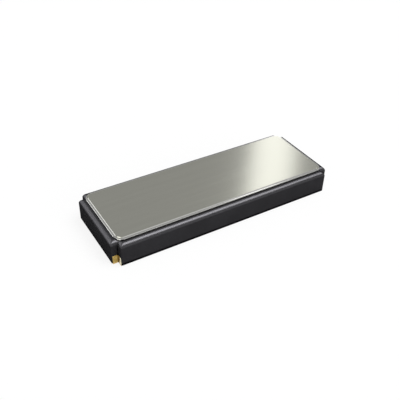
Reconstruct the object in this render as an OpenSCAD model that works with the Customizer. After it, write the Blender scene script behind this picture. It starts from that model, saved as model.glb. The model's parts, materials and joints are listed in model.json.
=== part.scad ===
// Surface-mount crystal oscillator in a flat ceramic package with a metal lid.
// Long side along X, short side along Y, solder pads' undersides on Z = 0. Sizes in millimetres.

/* [Ceramic body] */
// Length of the ceramic body, along X
body_l = 4.1; // [3.8:0.1:5]
// Width of the ceramic body, along Y
body_w = 1.5; // [1.4:0.05:2]
// Height of the ceramic body without its pads
body_h = 0.39; // [0.36:0.01:0.6]
// Thickness of the floor under the cavity
floor_t = 0.1; // [0.06:0.01:0.11]
// Thickness of the two end walls
end_wall_t = 0.28; // [0.24:0.01:0.34]
// Thickness of the two long walls
long_wall_t = 0.27; // [0.24:0.01:0.29]
// Radius of the cavity's upright corners
cavity_r = 0.06; // [0.03:0.01:0.1]
// Radius of the rounding along the top edges
top_r = 0.075; // [0.04:0.005:0.085]
// Radius of the upright edges
upright_r = 0.015; // [0.005:0.005:0.03]
// Length of the notch at each corner, along X
notch_l = 0.11; // [0.06:0.01:0.13]
// Width of the notch at each corner, along Y
notch_w = 0.12; // [0.06:0.01:0.13]
// Length of the pedestal that carries the tuning fork
pedestal_l = 0.4; // [0.38:0.02:0.5]
// Free floor between the pedestal and the long traces
pedestal_clear = 0.03; // [0.01:0.01:0.05]
// Height of the pedestal above the cavity's floor
pedestal_h = 0.11; // [0.08:0.01:0.13]

/* [Lid and seal] */
// Distance from the lid's edge to the side of the body
lid_inset = 0.095; // [0.08:0.005:0.11]
// Thickness of the lid
lid_t = 0.03; // [0.025:0.005:0.08]
// Radius of the lid's corners, seen from above
lid_r = 0.15; // [0.1:0.01:0.2]
// Radius of the rounding along the lid's top edge
lid_edge_r = 0.02; // [0.01:0.005:0.02]
// Thickness of the plated metal band fired onto the rim
band_t = 0.004; // [0.003:0.001:0.01]
// Thickness of the solder frame between band and lid
solder_t = 0.006; // [0.004:0.001:0.02]
// How far the seal stays back under the lid's edge
seal_back = 0.012; // [0.005:0.001:0.02]
// How far the seal stays back from the cavity's edge
seal_lip = 0.015; // [0.005:0.005:0.03]

/* [Solder pads] */
// Length of a solder pad, along X
pad_l = 0.67; // [0.56:0.01:0.8]
// Width of a solder pad, along Y
pad_w = 0.47; // [0.44:0.01:0.55]
// Thickness of a solder pad below the ceramic
pad_t = 0.012; // [0.008:0.001:0.02]
// Distance from a pad's edge to the side of the body
pad_inset = 0.03; // [0.02:0.005:0.05]
// Height to which the plating climbs in the notches of the left end
plating_h = 0.15; // [0.08:0.01:0.2]
// Thickness of the plating in the notches
plating_t = 0.006; // [0.004:0.001:0.01]
// Diameter of the metal plugs through the floor
via_d = 0.08; // [0.05:0.01:0.1]

/* [Floor traces] */
// Thickness of the plated traces and lands
trace_t = 0.006; // [0.004:0.001:0.01]
// Width of the two long traces beside the pedestal
trace_w = 0.07; // [0.05:0.005:0.075]
// Gap between the traces and the cavity's walls
trace_gap = 0.02; // [0.01:0.005:0.03]
// Length of a land over its plug
land_l = 0.18; // [0.14:0.01:0.2]
// Width of a land over its plug
land_w = 0.18; // [0.14:0.01:0.2]

/* [Oscillator chip] */
// Length of the chip
chip_l = 0.72; // [0.6:0.02:0.8]
// Free floor between the chip and the long traces
chip_clear = 0.11; // [0.08:0.01:0.13]
// Thickness of the chip
chip_h = 0.1; // [0.08:0.01:0.12]
// Thickness of the glue under the chip
chip_glue_t = 0.008; // [0.005:0.001:0.015]
// How far the glue shows round the chip
chip_glue_rim = 0.012; // [0.005:0.001:0.02]
// Free floor between the left lands and the chip
chip_gap = 0.07; // [0.05:0.01:0.1]
// Free floor between the chip and the pedestal
pedestal_gap = 0.1; // [0.06:0.01:0.14]
// Side of a contact square on the chip
contact = 0.06; // [0.05:0.005:0.07]
// Thickness of a contact square
contact_t = 0.003; // [0.002:0.001:0.004]
// Distance from the chip's edge to the middle of a contact square
contact_edge = 0.06; // [0.05:0.005:0.08]

/* [Bond wires] */
// Diameter of the gold wire
wire_d = 0.018; // [0.012:0.001:0.022]
// Diameter of the ball at the wire's start
ball_d = 0.044; // [0.035:0.001:0.05]
// Height of the ball
ball_h = 0.01; // [0.008:0.001:0.015]
// Height of the wire's crest above the ball
loop_h = 0.06; // [0.04:0.005:0.08]
// Length of the wire's flat foot
foot_l = 0.025; // [0.015:0.005:0.03]

/* [Tuning fork] */
// Thickness of the quartz
fork_t = 0.1; // [0.06:0.01:0.11]
// Width of the fork's base
fork_w = 0.4; // [0.38:0.01:0.44]
// Length of the fork's base
fork_base_l = 0.48; // [0.44:0.02:0.6]
// Width of an arm: with arms 1.72 long it gives close to 32.8 kilohertz
arm_w = 0.11; // [0.1:0.005:0.115]
// Gap between the arms
arm_gap = 0.12; // [0.09:0.01:0.13]
// How far the fork's neck stays back from the outer sides of the arms
neck_in = 0.015; // [0.005:0.005:0.02]
// Length of the neck
neck_l = 0.07; // [0.05:0.01:0.1]
// Distance from the neck to the arms' roots
neck_back = 0.08; // [0.06:0.01:0.1]
// Free length between the arms' tips and the cavity's wall
tip_gap = 0.1; // [0.06:0.01:0.2]
// Bare length at each arm's tip
tip_bare = 0.45; // [0.2:0.05:0.6]
// Thickness of the electrode films
film_t = 0.003; // [0.002:0.001:0.004]
// Bare margin on each side of an electrode film
film_margin = 0.025; // [0.015:0.005:0.03]

/* [Crystal lands and glue] */
// Bare edge of the pedestal round its two lands
crystal_land_edge = 0.03; // [0.02:0.005:0.05]
// Gap between the two lands on the pedestal
crystal_land_gap = 0.08; // [0.06:0.01:0.1]
// Diameter of a dot of conducting glue
glue_d = 0.13; // [0.1:0.01:0.14]
// Thickness of the glue under the fork
glue_t = 0.012; // [0.008:0.001:0.02]
// Distance from the glue to the land's right edge
glue_edge = 0.035; // [0.02:0.005:0.04]
// Distance from the fork's left edge to the glue
glue_set = 0.055; // [0.03:0.005:0.06]

/* [Hidden] */
$fn = 48;

// Small overlap that lets one cut run past a face
past = 0.02;

// Colours
ceramic_dark = "#2e2e30";
gold = "#d2a348";
gold_pale = "#dcbd76";
tungsten = "#6f6f72";
lid_metal = "#8e8e84";
solder_metal = "#b9b3a0";
silicon = "#4a4e58";
contact_metal = "#c9ccd0";
quartz = "#dfe8ee";
film_metal = "#cfc9b8";
glue_grey = "#a8a49a";

// Heights, from the solder pads' undersides up
ceramic_z = pad_t;
floor_z = ceramic_z + floor_t;
rim_z = ceramic_z + body_h;
solder_z = rim_z + band_t;
lid_z = solder_z + solder_t;
trace_z = floor_z + trace_t;
pedestal_z = floor_z + pedestal_h;
crystal_land_z = pedestal_z + trace_t;
fork_z = crystal_land_z + glue_t + film_t;
chip_z = floor_z + chip_glue_t;
chip_top_z = chip_z + chip_h;
contact_z = chip_top_z + contact_t;

// Cavity
cavity_l = body_l - 2 * end_wall_t;
cavity_w = body_w - 2 * long_wall_t;

// Places along X and Y on the floor
land_x = cavity_l / 2 - trace_gap - land_l / 2;
land_y = cavity_w / 2 - trace_gap - land_w / 2;
trace_y = cavity_w / 2 - trace_gap - trace_w / 2;
chip_x0 = -cavity_l / 2 + trace_gap + land_l + chip_gap;
chip_x1 = chip_x0 + chip_l;
chip_w = cavity_w - 2 * (trace_gap + trace_w + chip_clear);
chip_mid_x = (chip_x0 + chip_x1) / 2;
pedestal_x0 = chip_x1 + pedestal_gap;
pedestal_mid_x = pedestal_x0 + pedestal_l / 2;
pedestal_w = cavity_w - 2 * (trace_gap + trace_w + pedestal_clear);

// Lands on the pedestal, and the glue on them
crystal_land_l = pedestal_l - 2 * crystal_land_edge;
crystal_land_w = (pedestal_w - crystal_land_gap) / 2 - crystal_land_edge;
crystal_land_y = (crystal_land_gap + crystal_land_w) / 2;
glue_x = pedestal_mid_x + crystal_land_l / 2 - glue_edge - glue_d / 2;
glue_y = crystal_land_gap / 2 + glue_d / 2;

// Places of the fork
fork_x0 = glue_x - glue_d / 2 - glue_set;
fork_root_x = fork_x0 + fork_base_l;
fork_tip_x = cavity_l / 2 - tip_gap;
arms_w = 2 * arm_w + arm_gap;
arm_mid_y = (arm_gap + arm_w) / 2;
neck_x0 = fork_root_x - neck_back - neck_l;
film_end_x = fork_tip_x - tip_bare;

// Outline of the lid and of the seal under it. The seal's corners are rounded enough to stay
// on the flat of the rim where a notch cuts into it.
lid_l = body_l - 2 * lid_inset;
lid_w = body_w - 2 * lid_inset;
seal_inset = lid_inset + seal_back;
seal_l = body_l - 2 * seal_inset;
seal_w = body_w - 2 * seal_inset;
flat_from_l = notch_l + top_r - seal_inset;
flat_from_w = notch_w + top_r - seal_inset;
seal_r = max(lid_r - seal_back, flat_from_l + flat_from_w + sqrt(2 * flat_from_l * flat_from_w));

// Which way each terminal lies: left or right end, front or back side
enable_at = [-1, -1];
ground_at = [1, -1];
output_at = [1, 1];
supply_at = [-1, 1];

// Contact squares on the chip, one for each wire
left_contact_x = chip_x0 + contact_edge;
right_contact_x = chip_x1 - contact_edge;
side_contact_y = chip_w / 2 - contact_edge;
crystal_contact_y = crystal_land_y - crystal_land_w / 4;
contacts = [
    [left_contact_x, -side_contact_y],
    [left_contact_x, side_contact_y],
    [chip_mid_x, -side_contact_y],
    [chip_mid_x, side_contact_y],
    [right_contact_x, -crystal_contact_y],
    [right_contact_x, crystal_contact_y]
];

// Where the wires' feet end
land_foot_y = land_y - land_w / 4;
trace_foot_y = trace_y + foot_l / 2;
crystal_foot_x = pedestal_x0 + crystal_land_edge + wire_d + foot_l;

// Sides of a wire, rings at its ball, and the share of its reach that the first turn takes
wire_sides = 8;
ball_rings = 2;
turn_share = 0.3;

// Rectangle with round corners, centred
module round_rect(l, w, r) {
    square([l - 2 * r, w], center = true);
    square([l, w - 2 * r], center = true);
    for (x = [-1, 1], y = [-1, 1])
        translate([x * (l / 2 - r), y * (w / 2 - r)]) circle(r);
}

// Section of a block whose two upper edges are rounded, standing on the X axis
module domed_section(l, h, r) {
    translate([-l / 2, 0]) square([l, h - r]);
    translate([-l / 2 + r, 0]) square([l - 2 * r, h]);
    for (x = [-1, 1])
        translate([x * (l / 2 - r), h - r]) circle(r);
}

// Block with rounded upper edges and slightly rounded upright edges
module domed_block(l, w, h, r, upright) {
    intersection() {
        linear_extrude(h) round_rect(l, w, upright);
        rotate([90, 0, 0]) linear_extrude(w + 2 * past, center = true) domed_section(l, h, r);
        rotate([90, 0, 90]) linear_extrude(l + 2 * past, center = true) domed_section(w, h, r);
    }
}

// Flat frame: a plate with a window
module flat_frame(l, w, r, window_l, window_w, window_r, t) {
    difference() {
        linear_extrude(t) round_rect(l, w, r);
        translate([0, 0, -past])
            linear_extrude(t + 2 * past) round_rect(window_l, window_w, window_r);
    }
}

// Plugs through the floor, each under its land
module via_plug(at) {
    translate([at[0] * land_x, at[1] * land_y, ceramic_z]) cylinder(d = via_d, h = floor_t);
}

// One co-fired ceramic piece: floor, walls, pedestal and four notched corners
module ceramic_base() {
    color(ceramic_dark) {
        difference() {
            translate([0, 0, ceramic_z]) union() {
                domed_block(body_l, body_w - 2 * notch_w, body_h, top_r, upright_r);
                domed_block(body_l - 2 * notch_l, body_w, body_h, top_r, upright_r);
            }
            translate([0, 0, floor_z])
                linear_extrude(body_h) round_rect(cavity_l, cavity_w, cavity_r);
            for (x = [-1, 1], y = [-1, 1])
                translate([x * land_x, y * land_y, ceramic_z - past])
                    cylinder(d = via_d, h = floor_t + 2 * past);
        }
        translate([pedestal_mid_x - pedestal_l / 2, -pedestal_w / 2, floor_z])
            cube([pedestal_l, pedestal_w, pedestal_h]);
    }
}

// Gold pad under one corner, with the corner's notch left free. Drawn for the front left corner.
module pad_corner(plated) {
    difference() {
        translate([-body_l / 2 + pad_inset, -body_w / 2 + pad_inset, 0]) cube([pad_l, pad_w, pad_t]);
        translate([-body_l / 2 - past, -body_w / 2 - past, -past])
            cube([notch_l + past, notch_w + past, pad_t + 2 * past]);
    }
    if (plated) notch_plating();
}

// Gold film on the two faces of the front left notch
module notch_plating() {
    translate([-body_l / 2 + upright_r, -body_w / 2 + notch_w - plating_t, 0])
        cube([notch_l - upright_r, plating_t, plating_h]);
    translate([-body_l / 2 + notch_l - plating_t, -body_w / 2 + upright_r, 0])
        cube([plating_t, notch_w - upright_r, plating_h]);
}

// Places a shape drawn for the front left corner at any corner
module at_corner(at) {
    mirror([at[0] > 0 ? 1 : 0, 0, 0])
        mirror([0, at[1] > 0 ? 1 : 0, 0])
            children();
}

module solder_pad_enable() { color(gold) at_corner(enable_at) pad_corner(true); }
module solder_pad_ground() { color(gold) at_corner(ground_at) pad_corner(false); }
module solder_pad_output() { color(gold) at_corner(output_at) pad_corner(false); }
module solder_pad_supply() { color(gold) at_corner(supply_at) pad_corner(true); }

module via_enable() { color(tungsten) via_plug(enable_at); }
module via_ground() { color(tungsten) via_plug(ground_at); }
module via_output() { color(tungsten) via_plug(output_at); }
module via_supply() { color(tungsten) via_plug(supply_at); }

// Land over a plug
module land(at) {
    translate([at[0] * land_x - land_l / 2, at[1] * land_y - land_w / 2, floor_z])
        cube([land_l, land_w, trace_t]);
}

// Long trace from the chip's side past the pedestal to a land at the right end
module long_trace(at) {
    land(at);
    start_x = chip_mid_x - contact;
    translate([start_x, at[1] * trace_y - trace_w / 2, floor_z])
        cube([land_x - start_x, trace_w, trace_t]);
}

module floor_trace_enable() { color(gold_pale) land(enable_at); }
module floor_trace_ground() { color(gold_pale) long_trace(ground_at); }
module floor_trace_output() { color(gold_pale) long_trace(output_at); }
module floor_trace_supply() { color(gold_pale) land(supply_at); }

// Land on the pedestal: the wire ends on its left part, the fork's glue on its right part
module crystal_land(side) {
    translate([pedestal_mid_x - crystal_land_l / 2,
               side * crystal_land_y - crystal_land_w / 2, pedestal_z])
        cube([crystal_land_l, crystal_land_w, trace_t]);
}

module crystal_land_in() { color(gold_pale) crystal_land(-1); }
module crystal_land_out() { color(gold_pale) crystal_land(1); }

// Dot of conducting glue that has spread a little at its middle height
module glue_dot(side) {
    bulge = glue_t / 2;
    translate([glue_x, side * glue_y, crystal_land_z])
        rotate_extrude() intersection() {
            union() {
                square([glue_d / 2 - bulge, glue_t]);
                translate([glue_d / 2 - bulge, bulge]) circle(bulge);
            }
            square([glue_d, glue_t]);
        }
}

module glue_dot_in() { color(glue_grey) glue_dot(-1); }
module glue_dot_out() { color(glue_grey) glue_dot(1); }

// Quartz tuning fork, one piece: base with a neck, and two arms with a round crotch
module tuning_fork() {
    neck_y = arms_w / 2 - neck_in;
    color(quartz) translate([0, 0, fork_z]) linear_extrude(fork_t) difference() {
        union() {
            translate([fork_x0, -fork_w / 2]) square([fork_root_x - neck_back - fork_x0, fork_w]);
            translate([neck_x0, -arms_w / 2]) square([fork_tip_x - neck_x0, arms_w]);
        }
        translate([fork_root_x + arm_gap / 2, 0]) circle(d = arm_gap);
        translate([fork_root_x + arm_gap / 2, -arm_gap / 2])
            square([fork_tip_x - fork_root_x + past, arm_gap]);
        for (side = [0, 1])
            mirror([0, side]) translate([neck_x0, neck_y]) square([neck_l, fork_w]);
    }
}

// Metal films of one polarity. Drawn for the front arm: its broad faces, the back arm's sides
// and the front half of the base.
module electrode_films() {
    film_x0 = fork_x0 + film_margin;
    arm_film_w = arm_w - 2 * film_margin;
    half_w = fork_w / 2 - film_margin;
    side_film_h = fork_t - 2 * film_margin;
    side_x0 = fork_root_x + arm_gap;
    for (z = [fork_z - film_t, fork_z + fork_t]) {
        translate([film_x0, -half_w, z])
            cube([neck_x0 - film_x0, half_w - film_margin, film_t]);
        translate([neck_x0 - film_margin, -arm_mid_y - arm_film_w / 2, z])
            cube([film_end_x - neck_x0 + film_margin, arm_film_w, film_t]);
    }
    for (y = [arm_gap / 2 - film_t, arm_gap / 2 + arm_w])
        translate([side_x0, y, fork_z + film_margin])
            cube([film_end_x - side_x0, film_t, side_film_h]);
}

module electrode_in() { color(film_metal) electrode_films(); }
module electrode_out() { color(film_metal) mirror([0, 1, 0]) electrode_films(); }

module chip_glue() {
    color(glue_grey) translate([chip_mid_x, 0, floor_z])
        linear_extrude(chip_glue_t)
            square([chip_l + 2 * chip_glue_rim, chip_w + 2 * chip_glue_rim], center = true);
}

module oscillator_chip() {
    color(silicon) translate([chip_x0, -chip_w / 2, chip_z]) cube([chip_l, chip_w, chip_h]);
}

module chip_contacts() {
    color(contact_metal) for (at = contacts)
        translate([at[0] - contact / 2, at[1] - contact / 2, chip_top_z])
            cube([contact, contact, contact_t]);
}

// Centre line of a wire as [distance, height] from the ball's underside to the end of its foot:
// straight up through the ball, a quarter turn to the crest, then a long curve down
function wire_line(reach, drop) =
    let (
        turn = reach * turn_share,
        base = ball_h + wire_d / 2,
        crest = ball_h + loop_h,
        up = 4,
        down = 8
    )
    concat(
        [[0, 0], [0, ball_h]],
        [for (i = [0 : up]) [turn * (1 - cos(90 * i / up)), base + (crest - base) * sin(90 * i / up)]],
        [for (i = [1 : down]) let (q = i / down)
            [turn + (reach - turn) * q, crest - (crest + drop) * (3 * q * q - 2 * q * q * q)]],
        [[reach + foot_l, -drop]]
    );

// Gold wire from a contact square to a land: ball, loop and foot in one piece
module bond_wire(from, to, to_z) {
    sides = wire_sides;
    step = to - from;
    whole = norm(step);
    along = step / whole;
    across = [-along[1], along[0]];
    flat_r = wire_d / 2 * cos(180 / sides);
    line = wire_line(whole - foot_l, contact_z - to_z - flat_r);
    last = len(line) - 1;
    rings = [for (i = [0 : last])
        let (
            ahead = line[min(i + 1, last)] - line[max(i - 1, 0)],
            t = ahead / norm(ahead),
            r = (i < ball_rings ? ball_d : wire_d) / 2
        )
        [for (k = [0 : sides - 1])
            let (
                s = r * cos(360 * (k + 0.5) / sides),
                n = r * sin(360 * (k + 0.5) / sides),
                d = line[i][0] - n * t[1],
                z = line[i][1] + n * t[0]
            )
            [from[0] + along[0] * d + across[0] * s,
             from[1] + along[1] * d + across[1] * s,
             contact_z + z]]];
    polyhedron(
        points = [for (ring = rings) for (p = ring) p],
        faces = concat(
            [[for (k = [0 : sides - 1]) k]],
            [for (i = [0 : last - 1], k = [0 : sides - 1])
                [i * sides + k, (i + 1) * sides + k,
                 (i + 1) * sides + (k + 1) % sides, i * sides + (k + 1) % sides]],
            [[for (k = [sides - 1 : -1 : 0]) last * sides + k]]
        )
    );
}

module bond_wire_enable() {
    color(gold) bond_wire(contacts[0], [-land_x, -land_foot_y], trace_z);
}
module bond_wire_supply() {
    color(gold) bond_wire(contacts[1], [-land_x, land_foot_y], trace_z);
}
module bond_wire_ground() {
    color(gold) bond_wire(contacts[2], [chip_mid_x, -trace_foot_y], trace_z);
}
module bond_wire_output() {
    color(gold) bond_wire(contacts[3], [chip_mid_x, trace_foot_y], trace_z);
}
module bond_wire_crystal_in() {
    color(gold) bond_wire(contacts[4], [crystal_foot_x, -crystal_contact_y], crystal_land_z);
}
module bond_wire_crystal_out() {
    color(gold) bond_wire(contacts[5], [crystal_foot_x, crystal_contact_y], crystal_land_z);
}

// Plated band on the rim, and the solder frame on it
module seal_frame(t) {
    flat_frame(seal_l, seal_w, seal_r, cavity_l + 2 * seal_lip, cavity_w + 2 * seal_lip,
               cavity_r + seal_lip, t);
}
module seal_band() { color(gold_pale) translate([0, 0, rim_z]) seal_frame(band_t); }
module seal_solder() { color(solder_metal) translate([0, 0, solder_z]) seal_frame(solder_t); }

// Lid: a thin plate whose upper edge is rounded all the way round
module lid() {
    core_l = lid_l - 2 * lid_edge_r;
    core_w = lid_w - 2 * lid_edge_r;
    core_r = lid_r - lid_edge_r;
    shoulder_z = lid_t - lid_edge_r;
    color(lid_metal) translate([0, 0, lid_z]) intersection() {
        translate([-lid_l, -lid_w, 0]) cube([2 * lid_l, 2 * lid_w, lid_t]);
        union() {
            linear_extrude(shoulder_z) round_rect(lid_l, lid_w, lid_r);
            linear_extrude(lid_t) round_rect(core_l, core_w, core_r);
            for (y = [-1, 1])
                translate([0, y * core_w / 2, shoulder_z]) rotate([0, 90, 0])
                    cylinder(r = lid_edge_r, h = core_l - 2 * core_r, center = true);
            for (x = [-1, 1])
                translate([x * core_l / 2, 0, shoulder_z]) rotate([90, 0, 0])
                    cylinder(r = lid_edge_r, h = core_w - 2 * core_r, center = true);
            for (x = [-1, 1], y = [-1, 1])
                translate([x * (core_l / 2 - core_r), y * (core_w / 2 - core_r), shoulder_z])
                    rotate_extrude() translate([core_r, 0]) circle(lid_edge_r);
        }
    }
}

ceramic_base();
solder_pad_enable();
solder_pad_ground();
solder_pad_output();
solder_pad_supply();
via_enable();
via_ground();
via_output();
via_supply();
floor_trace_enable();
floor_trace_ground();
floor_trace_output();
floor_trace_supply();
crystal_land_in();
crystal_land_out();
glue_dot_in();
glue_dot_out();
tuning_fork();
electrode_in();
electrode_out();
chip_glue();
oscillator_chip();
chip_contacts();
bond_wire_enable();
bond_wire_ground();
bond_wire_output();
bond_wire_supply();
bond_wire_crystal_in();
bond_wire_crystal_out();
seal_band();
seal_solder();
lid();
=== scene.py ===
import json
import math

import bmesh
import bpy
from mathutils import Matrix, Vector


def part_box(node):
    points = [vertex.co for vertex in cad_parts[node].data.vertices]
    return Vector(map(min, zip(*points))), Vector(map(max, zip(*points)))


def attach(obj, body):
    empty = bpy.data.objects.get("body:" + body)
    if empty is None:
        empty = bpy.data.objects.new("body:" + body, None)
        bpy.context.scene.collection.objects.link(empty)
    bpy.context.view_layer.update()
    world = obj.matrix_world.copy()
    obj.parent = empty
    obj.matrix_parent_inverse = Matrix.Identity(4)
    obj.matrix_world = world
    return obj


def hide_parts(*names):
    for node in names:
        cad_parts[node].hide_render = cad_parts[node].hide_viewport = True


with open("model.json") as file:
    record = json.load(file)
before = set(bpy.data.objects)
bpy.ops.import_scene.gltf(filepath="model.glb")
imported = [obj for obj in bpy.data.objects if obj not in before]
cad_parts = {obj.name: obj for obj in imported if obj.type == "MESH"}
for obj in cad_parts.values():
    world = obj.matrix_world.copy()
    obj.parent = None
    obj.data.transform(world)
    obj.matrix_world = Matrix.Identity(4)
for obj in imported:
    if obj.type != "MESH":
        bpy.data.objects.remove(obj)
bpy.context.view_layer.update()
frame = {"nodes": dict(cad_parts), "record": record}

# A small flat ceramic package with a soldered metal lid. Sizes below are in millimetres, in the
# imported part's own frame: length along X, width along Y, the solder pads' undersides on Z = 0.
MM = 0.001


def span(node):
    """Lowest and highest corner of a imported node, in millimetres."""
    low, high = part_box(node)
    return low / MM, high / MM


# Ceramic body
BODY_LOW, BODY_HIGH = span("ceramic_base")
BODY_L = BODY_HIGH.x - BODY_LOW.x
BODY_W = BODY_HIGH.y - BODY_LOW.y
RIM_Z = BODY_HIGH.z
NOTCH_L = 0.11
NOTCH_W = 0.12
TOP_ROUND = 0.075
FOOT_ROUND = 0.006
WALL_L = 0.28
WALL_W = 0.27
CAVITY_L = BODY_L - 2 * WALL_L
CAVITY_W = BODY_W - 2 * WALL_W
CAVITY_ROUND = 0.06

# Roundings of the upright edges at a notch: radius, and its growth with the inset further up
CORNER_ROUND = 0.012
CORNER_GROWTH = 0.3
NOOK_ROUND = 0.005
NOOK_GROWTH = 0.15

# Groove in a notch's inner corner, and how far below the top rounding it runs out
NOOK_GROOVE = 0.0095
NOOK_GROOVE_TOP = 0.055

# Distance of an extra point before and after a rounding, which keeps the flats' shading flat
HOLD = 0.003

# Floor of the cavity, its plugs and its pedestal
VIA_LOW, VIA_HIGH = span("via_enable")
FLOOR_Z = VIA_HIGH.z
VIA_D = VIA_HIGH.x - VIA_LOW.x
VIA_X = -(VIA_LOW.x + VIA_HIGH.x) / 2
VIA_Y = -(VIA_LOW.y + VIA_HIGH.y) / 2
LAND_LOW, LAND_HIGH = span("crystal_land_in")
PEDESTAL_Z = LAND_LOW.z
PEDESTAL_EDGE = 0.03
PEDESTAL_X0 = LAND_LOW.x - PEDESTAL_EDGE
PEDESTAL_X1 = LAND_HIGH.x + PEDESTAL_EDGE
PEDESTAL_Y = -LAND_LOW.y + PEDESTAL_EDGE

# Width of the long floor traces
TRACE_W = 0.07

# Lid
LID_LOW, LID_HIGH = span("lid")
LID_L = LID_HIGH.x - LID_LOW.x
LID_W = LID_HIGH.y - LID_LOW.y
LID_ROUND = 0.15

# Lid's edge from outside to inside, as (distance from the edge, share of the lid's height)
LID_EDGE = [
    (0.0, 0.0), (0.0, 0.06), (0.002, 0.5), (0.004, 0.58), (0.0045, 0.6),
    (0.024, 0.62), (0.027, 0.45), (0.029, 0.45), (0.039, 0.98), (0.0396, 1.0), (0.0426, 1.0),
]

# Width of the paler colour painted along the lid's edge as a highlight, up to the top of its step
LID_HIGHLIGHT_W = 0.039

# Where the four terminals lie: left or right end, front or back side
TERMINALS = {"enable": (-1, -1), "ground": (1, -1), "output": (1, 1), "supply": (-1, 1)}

# Seal between rim and lid
SEAL_INSET = BODY_HIGH.x - span("seal_band")[1].x
SEAL_FROM_L = NOTCH_L + TOP_ROUND - SEAL_INSET
SEAL_FROM_W = NOTCH_W + TOP_ROUND - SEAL_INSET
SEAL_ROUND = SEAL_FROM_L + SEAL_FROM_W + math.sqrt(2 * SEAL_FROM_L * SEAL_FROM_W)
SEAL_LIP = 0.015

# Edges of the two seal frames from foot to top, as (inset, share of the frame's height)
BAND_EDGE = [(0.0008, 0.0), (0.0, 0.3), (0.0, 0.8), (0.0008, 1.0)]
SOLDER_EDGE = [(0.0, 0.0), (0.0025, 0.25), (0.0035, 0.5), (0.0025, 0.75), (0.0, 1.0)]

# Chip and its contact squares
CHIP_LOW, CHIP_HIGH = span("oscillator_chip")
CHIP_MID_X = (CHIP_LOW.x + CHIP_HIGH.x) / 2
CONTACT = 0.06
CONTACT_T = 0.003
CONTACT_EDGE = 0.06
CONTACT_Z = CHIP_HIGH.z + CONTACT_T
SIDE_CONTACT_Y = CHIP_HIGH.y - CONTACT_EDGE
CONTACT_X = CHIP_HIGH.x - CONTACT_EDGE

# How far in from its outer edge a wire's foot lies on a left land and on a crystal land, as a share
# of the land's width
LEFT_FOOT_SHARE = 0.75
CRYSTAL_FOOT_SHARE = 0.25
CRYSTAL_WIRE_Y = CRYSTAL_FOOT_SHARE * (LAND_HIGH.y - LAND_LOW.y) - LAND_HIGH.y

# Gold wires and their ends
WIRE_D = 0.018
BALL_D = 0.044
BALL_H = 0.01
LOOP_H = 0.06
FOOT_L = 0.025

# Share of the wire's reach that its first turn takes
TURN_SHARE = 0.3

# Swell of the wire at its ball: how fast it passes, where its middle is, and how full its sides are
BALL_SPREAD = 1.9
BALL_MIDDLE = 0.8
BALL_FULLNESS = 6.0

# Shares of the wire's length at which it has left the ball, turned level, and come down
RISEN = 0.25
TURNED = 0.5
LANDED = 0.92

# Tuning fork
FORK_LOW, FORK_HIGH = span("tuning_fork")
FORK_BASE_L = 0.48
ARM_W = 0.11
ARM_GAP = 0.12
NECK_L = 0.07
NECK_BACK = 0.08
NECK_IN = 0.015

# Glue dots: width, how far the middle bulges past the rims, how round the bulge is, and the depth
# of its three waves, whose turn differs from dot to dot
GLUE_D = 0.13
GLUE_BULGE = 0.006
GLUE_ROUND = 0.97
GLUE_WAVE = 0.012
GLUE_WAVES = 3
GLUE_TURN = 9

# Closest points that stay apart. Then angles between faces in degrees: the flattest edge that is
# kept, the flattest one that is rounded, and the sharpest one that is shaded smooth
MERGED = 0.00005
FLAT = 1
SHARP = 30
SMOOTH = 35
LID_SMOOTH = 12

QUARTER = math.pi / 2


class Value:
    """One output of a node. Sums with it add Math nodes."""

    def __init__(self, nodes, socket):
        self.nodes = nodes
        self.socket = socket

    def maths(self, operation, *terms):
        return self.nodes.node("ShaderNodeMath", {"operation": operation}, dict(enumerate(terms)))

    def __add__(self, other):
        return self.maths("ADD", self, other)

    def __radd__(self, other):
        return self.maths("ADD", other, self)

    def __sub__(self, other):
        return self.maths("SUBTRACT", self, other)

    def __rsub__(self, other):
        return self.maths("SUBTRACT", other, self)

    def __mul__(self, other):
        return self.maths("MULTIPLY", self, other)

    def __rmul__(self, other):
        return self.maths("MULTIPLY", other, self)

    def __truediv__(self, other):
        return self.maths("DIVIDE", self, other)

    def __abs__(self):
        return self.maths("ABSOLUTE", self)

    def sine(self):
        return self.maths("SINE", self)

    def cosine(self):
        return self.maths("COSINE", self)

    def power(self, exponent):
        return self.maths("POWER", self, exponent)

    def most(self, other):
        return self.maths("MAXIMUM", self, other)

    def above(self, other):
        return self.maths("GREATER_THAN", self, other)

    def ramp(self, start, end, smooth=True):
        """0 up to start, 1 from end on, and a soft or straight slope between them."""
        kind = "SMOOTHSTEP" if smooth else "LINEAR"
        inputs = {"Value": self, "From Min": start, "From Max": end}
        return self.nodes.node("ShaderNodeMapRange", {"interpolation_type": kind}, inputs)


class Nodes:
    """A node tree written as calls: each adds one node and gives back one of its outputs."""

    def __init__(self, tree):
        self.tree = tree

    def node(self, kind, settings=None, inputs=None, out=0):
        """Adds a node with these settings and inputs and gives back one output, the first if not
        asked otherwise."""
        made = self.tree.nodes.new(kind)
        for name, value in (settings or {}).items():
            setattr(made, name, value)
        for name, value in (inputs or {}).items():
            self.plug(made.inputs[name], value)
        return Value(self, made.outputs[out])

    def plug(self, socket, value):
        """Sets a socket's value, or links an output to it."""
        if isinstance(value, Value):
            self.tree.links.new(value.socket, socket)
        else:
            socket.default_value = value

    def mix(self, factor, first, second):
        """Colour first turning into colour second as factor goes from 0 to 1."""
        inputs = {0: factor, 6: first, 7: second}
        return self.node("ShaderNodeMix", {"data_type": "RGBA"}, inputs, 2)

    def point(self, x, y, z):
        return self.node("ShaderNodeCombineXYZ", None, {"X": x, "Y": y, "Z": z})

    def parts(self, vector):
        """The X, Y and Z of a vector."""
        split = self.node("ShaderNodeSeparateXYZ", None, {0: vector})
        outputs = split.socket.node.outputs
        return [Value(self, socket) for socket in outputs]


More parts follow.
